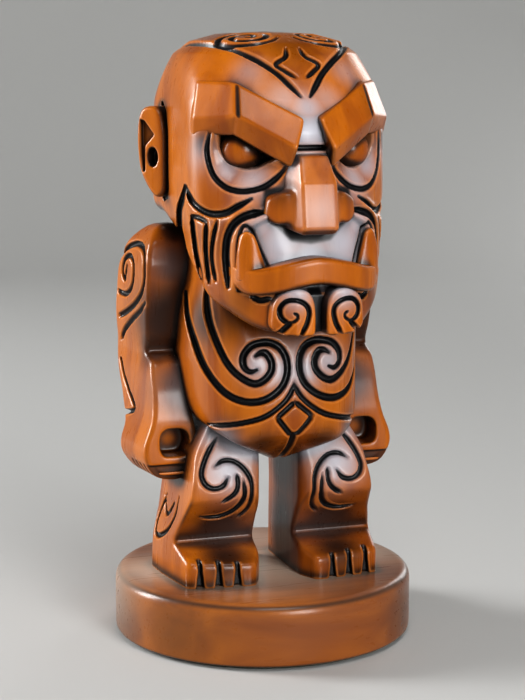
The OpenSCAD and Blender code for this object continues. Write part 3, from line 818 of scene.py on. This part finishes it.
def wood_material(name, light, deep, silver, grain_scale, grain_axis):
    """Stained and lacquered carved wood: dark in the stained lines, rubbed bright on the edges with a
    painted highlight, with painted shade in creases, underneath and at listed places, and a painted sheen
    at others.
    """
    material = bpy.data.materials.new(name)
    material.use_nodes = True
    tree = material.node_tree
    nodes = tree.nodes
    nodes.clear()
    links = tree.links

    def node(kind, **settings):
        made = nodes.new(kind)
        for key, value in settings.items():
            setattr(made, key, value)
        return made

    def attribute(label):
        return node("ShaderNodeAttribute", attribute_name=label).outputs["Fac"]

    def math_node(operation, a, b, clamp=False):
        made = node("ShaderNodeMath", operation=operation, use_clamp=clamp)
        for socket, value in zip(made.inputs, (a, b)):
            if isinstance(value, (int, float)):
                socket.default_value = value
            else:
                links.new(value, socket)
        return made.outputs[0]

    def mapped(value, low, high, to_low=0.0, to_high=1.0):
        made = node("ShaderNodeMapRange", interpolation_type="SMOOTHSTEP")
        links.new(value, made.inputs["Value"])
        made.inputs["From Min"].default_value = low
        made.inputs["From Max"].default_value = high
        made.inputs["To Min"].default_value = to_low
        made.inputs["To Max"].default_value = to_high
        return made.outputs[0]

    def mixed(factor, a, b, blend="MIX"):
        made = node("ShaderNodeMix", data_type="RGBA", blend_type=blend)
        if isinstance(factor, (int, float)):
            made.inputs["Factor"].default_value = factor
        else:
            links.new(factor, made.inputs["Factor"])
        for label, value in (("A", a), ("B", b)):
            socket = [s for s in made.inputs if s.name == label and s.type == "RGBA"][0]
            if isinstance(value, tuple):
                socket.default_value = (*value, 1)
            else:
                links.new(value, socket)
        return [s for s in made.outputs if s.type == "RGBA"][0]

    def noise(scale, stretch, detail=4.0, distortion=0.0):
        coordinates = node("ShaderNodeTexCoord").outputs["Object"]
        mapping = node("ShaderNodeMapping")
        mapping.inputs["Scale"].default_value = stretch
        links.new(coordinates, mapping.inputs["Vector"])
        made = node("ShaderNodeTexNoise")
        made.inputs["Scale"].default_value = scale
        made.inputs["Detail"].default_value = detail
        made.inputs["Distortion"].default_value = distortion
        links.new(mapping.outputs[0], made.inputs["Vector"])
        return made.outputs["Fac"]

    def along_grain(stretch):
        return [stretch if axis == grain_axis else 1.0 for axis in range(3)]

    streaks = noise(grain_scale, along_grain(0.14), detail=5, distortion=0.6)
    fibres = noise(grain_scale * 7, along_grain(0.06), detail=3)
    clouds = noise(22, (1.0, 1.0, 1.0), detail=2)
    open_space = attribute("open")
    stain_and_shade = attribute("stain_and_shade")
    wear_and_highlight = attribute("wear_and_highlight")
    pale = attribute("pale")
    shade_and_stain_place = attribute("deep")

    colour = mixed(mapped(streaks, 0.3, 0.72), light, deep)
    colour = mixed(mapped(fibres, 0.45, 0.8, 0.0, 0.12), colour, deep)
    colour = mixed(mapped(clouds, 0.42, 0.7, 0.0, 0.35), colour, deep)
    # Painted shade, with some darker stain, at the listed places.
    colour = mixed(mapped(shade_and_stain_place, 0.05, 0.85), colour, SHADE_AND_STAIN_BROWN)
    # Painted shade in creases and on faces that look down.
    colour = mixed(mapped(open_space, 0.92, 0.45, 0.0, 0.9), colour, CREASE_SHADE_BROWN)
    colour = mixed(mapped(open_space, 0.55, 0.2, 0.0, 0.8), colour, CREASE_SHADE_BLACK)
    # Edges rubbed lighter, with a painted highlight along them.
    colour = mixed(mapped(wear_and_highlight, 0.35, 1.0, 0.0, 0.4), colour, WORN_EDGE_HIGHLIGHT)
    # Painted sheen: a pale colour standing in for reflected light.
    colour = mixed(pale, colour, silver)
    # Black in the stained lines, and painted shade round the nose, between the chin curls, in the ear and
    # in the fist.
    colour = mixed(mapped(stain_and_shade, 0.25, 0.8), colour, LINE_AND_SHADE_BLACK)

    roughness = math_node("ADD", mapped(fibres, 0.3, 0.8, 0.0, 0.10), mapped(stain_and_shade, 0.2, 0.9, 0.27, 0.5))
    bump = node("ShaderNodeBump")
    bump.inputs["Strength"].default_value = 0.1
    bump.inputs["Distance"].default_value = 0.0002
    links.new(math_node("ADD", fibres, streaks), bump.inputs["Height"])
    shader = node("ShaderNodeBsdfPrincipled")
    shader.inputs["Specular IOR Level"].default_value = 0.2
    shader.inputs["Coat Weight"].default_value = 0.25
    shader.inputs["Coat Roughness"].default_value = 0.2
    links.new(colour, shader.inputs["Base Color"])
    links.new(roughness, shader.inputs["Roughness"])
    links.new(bump.outputs[0], shader.inputs["Normal"])
    output = node("ShaderNodeOutputMaterial")
    links.new(shader.outputs[0], output.inputs["Surface"])
    return material


def plain_material(name, colour, roughness, metallic=0.0):
    """A fixed finish with a little unevenness, for the hidden fixings and the felt."""
    material = bpy.data.materials.new(name)
    material.use_nodes = True
    nodes = material.node_tree.nodes
    links = material.node_tree.links
    shader = nodes["Principled BSDF"]
    shader.inputs["Metallic"].default_value = metallic
    noise = nodes.new("ShaderNodeTexNoise")
    noise.inputs["Scale"].default_value = 900
    coordinates = nodes.new("ShaderNodeTexCoord")
    links.new(coordinates.outputs["Object"], noise.inputs["Vector"])
    ramp_node = nodes.new("ShaderNodeValToRGB")
    ramp_node.color_ramp.elements[0].color = (*[0.6 * c for c in colour], 1)
    ramp_node.color_ramp.elements[1].color = (*colour, 1)
    links.new(noise.outputs["Fac"], ramp_node.inputs["Fac"])
    links.new(ramp_node.outputs["Color"], shader.inputs["Base Color"])
    shader.inputs["Roughness"].default_value = roughness
    return material


CARVED = wood_material("carved_wood", HONEY, HONEY_GRAIN, PAINTED_SILVER_SHEEN, grain_scale=60, grain_axis=2)
TURNED = wood_material("base_wood", BASE_BROWN, BASE_GRAIN, BASE_PAINTED_SHEEN, grain_scale=45, grain_axis=0)
PLAIN = {
    "dowel_wood": plain_material("dowel_wood", (0.60, 0.42, 0.22), 0.6),
    "screw_steel": plain_material("screw_steel", (0.62, 0.62, 0.64), 0.35, metallic=1.0),
    "felt": plain_material("felt", (0.03, 0.045, 0.03), 0.95),
}
SLOT_OF_NODE = {"felt_pad": "felt", "base_screws": "screw_steel", "neck_dowel": "dowel_wood"}


def finish_piece(obj, node, material):
    """Give a piece its material, hang it on the root body and hide the CAD node that it stands for."""
    obj.data.materials.append(material)
    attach(obj, "root")
    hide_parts(node)


for label, (form, low, high, step) in WHOLE.items():
    points, faces, values = carve(label, form, low, high, step)
    finish_piece(new_mesh("carved_" + label, points, faces, values, False), label, CARVED)
for label, (form, low, high, step) in SIDED.items():
    points, faces, values = carve(label, form, low, high, step)
    for side in ("left", "right"):
        obj = new_mesh(f"carved_{label}_{side}", points, faces, values, side == "right")
        finish_piece(obj, f"{label}_{side}", CARVED)

turned_base = carve("base_disc", base_form, (-BASE_RADIUS - 2, -BASE_RADIUS - 2, BASE_LOW[2] - 2),
                    (BASE_RADIUS + 2, BASE_RADIUS + 2, BASE_TOP + 2), 1.0)
finish_piece(new_mesh("turned_base", *turned_base, False), "base_disc", TURNED)

for node_name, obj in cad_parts.items():
    slot_name = SLOT_OF_NODE.get(node_name, "dowel_wood" if "dowel" in node_name else None)
    if slot_name:
        obj.data.materials.clear()
        obj.data.materials.append(PLAIN[slot_name])


def add_floor():
    """A round, pale sweep: flat in the middle and curving up into a wall."""
    profile = [(radius, 0.0) for radius in (0.0, 0.4, 0.8, 1.2, 1.6)]
    for angle in np.radians(np.linspace(0, 90, 13))[1:]:
        profile.append((1.6 + 0.8 * math.sin(angle), 0.8 - 0.8 * math.cos(angle)))
    profile.append((2.4, 3.2))
    count = 96
    points = []
    for radius, height in profile[1:]:
        for turn in np.linspace(0, 2 * math.pi, count, endpoint=False):
            points.append((radius * math.cos(turn), radius * math.sin(turn), height))
    faces = [tuple(range(count))]
    for ring in range(len(profile) - 2):
        for i in range(count):
            j = (i + 1) % count
            inner = ring * count
            outer = inner + count
            faces.append((inner + j, inner + i, outer + i, outer + j))
    mesh = bpy.data.meshes.new("floor")
    mesh.from_pydata(points, [], faces)
    for polygon in mesh.polygons:
        polygon.use_smooth = True
    floor = bpy.data.objects.new("floor", mesh)
    bpy.context.scene.collection.objects.link(floor)
    material = bpy.data.materials.new("floor")
    material.use_nodes = True
    shader = material.node_tree.nodes["Principled BSDF"]
    shader.inputs["Base Color"].default_value = (0.52, 0.52, 0.51, 1)
    shader.inputs["Roughness"].default_value = 0.8
    mesh.materials.append(material)


def add_light(name, place, target, size, power):
    """A soft rectangular light that the camera itself doesn't see. Metres and watts."""
    light = bpy.data.lights.new(name, "AREA")
    light.shape = "RECTANGLE"
    light.size, light.size_y = size
    light.energy = power
    obj = bpy.data.objects.new(name, light)
    obj.location = place
    obj.visible_camera = False
    obj.rotation_euler = (Vector(target) - Vector(place)).to_track_quat("-Z", "Y").to_euler()
    bpy.context.scene.collection.objects.link(obj)


def add_camera():
    """Look at the figure from its front right and a little above."""
    turn = math.radians(18.28)
    rise = math.radians(9.1)
    distance = 0.8946
    look_at = Vector((0, 0, 0.1442))
    back = Vector((-math.sin(turn) * math.cos(rise), -math.cos(turn) * math.cos(rise), math.sin(rise)))
    camera = bpy.data.cameras.new("camera")
    camera.lens = 90.4
    obj = bpy.data.objects.new("camera", camera)
    obj.location = look_at + distance * back
    obj.rotation_euler = (-back).to_track_quat("-Z", "Y").to_euler()
    bpy.context.scene.collection.objects.link(obj)
    bpy.context.scene.camera = obj


def add_world():
    world = bpy.data.worlds.new("studio")
    world.use_nodes = True
    world.node_tree.nodes["Background"].inputs[0].default_value = (1, 1, 1, 1)
    world.node_tree.nodes["Background"].inputs[1].default_value = 0.035
    bpy.context.scene.world = world


CHIN = (0, 0, 0.17)  # where the lights aim, in metres
CHIN_FRONT = (0, -0.02, 0.17)
add_floor()
add_world()
add_camera()
add_light("key", (0.34, -1.74, 0.56), CHIN, (0.6, 0.75), 19.5)
add_light("top", (0.0, -0.50, 0.95), CHIN_FRONT, (0.5, 0.4), 3)
add_light("left", (-1.60, 0.90, 0.75), CHIN, (0.5, 1.0), 42)
add_light("right", (1.50, 1.40, 0.75), CHIN, (0.5, 1.0), 6)
bpy.context.scene.view_settings.view_transform = "Standard"
bpy.context.scene.view_settings.look = "Medium High Contrast"
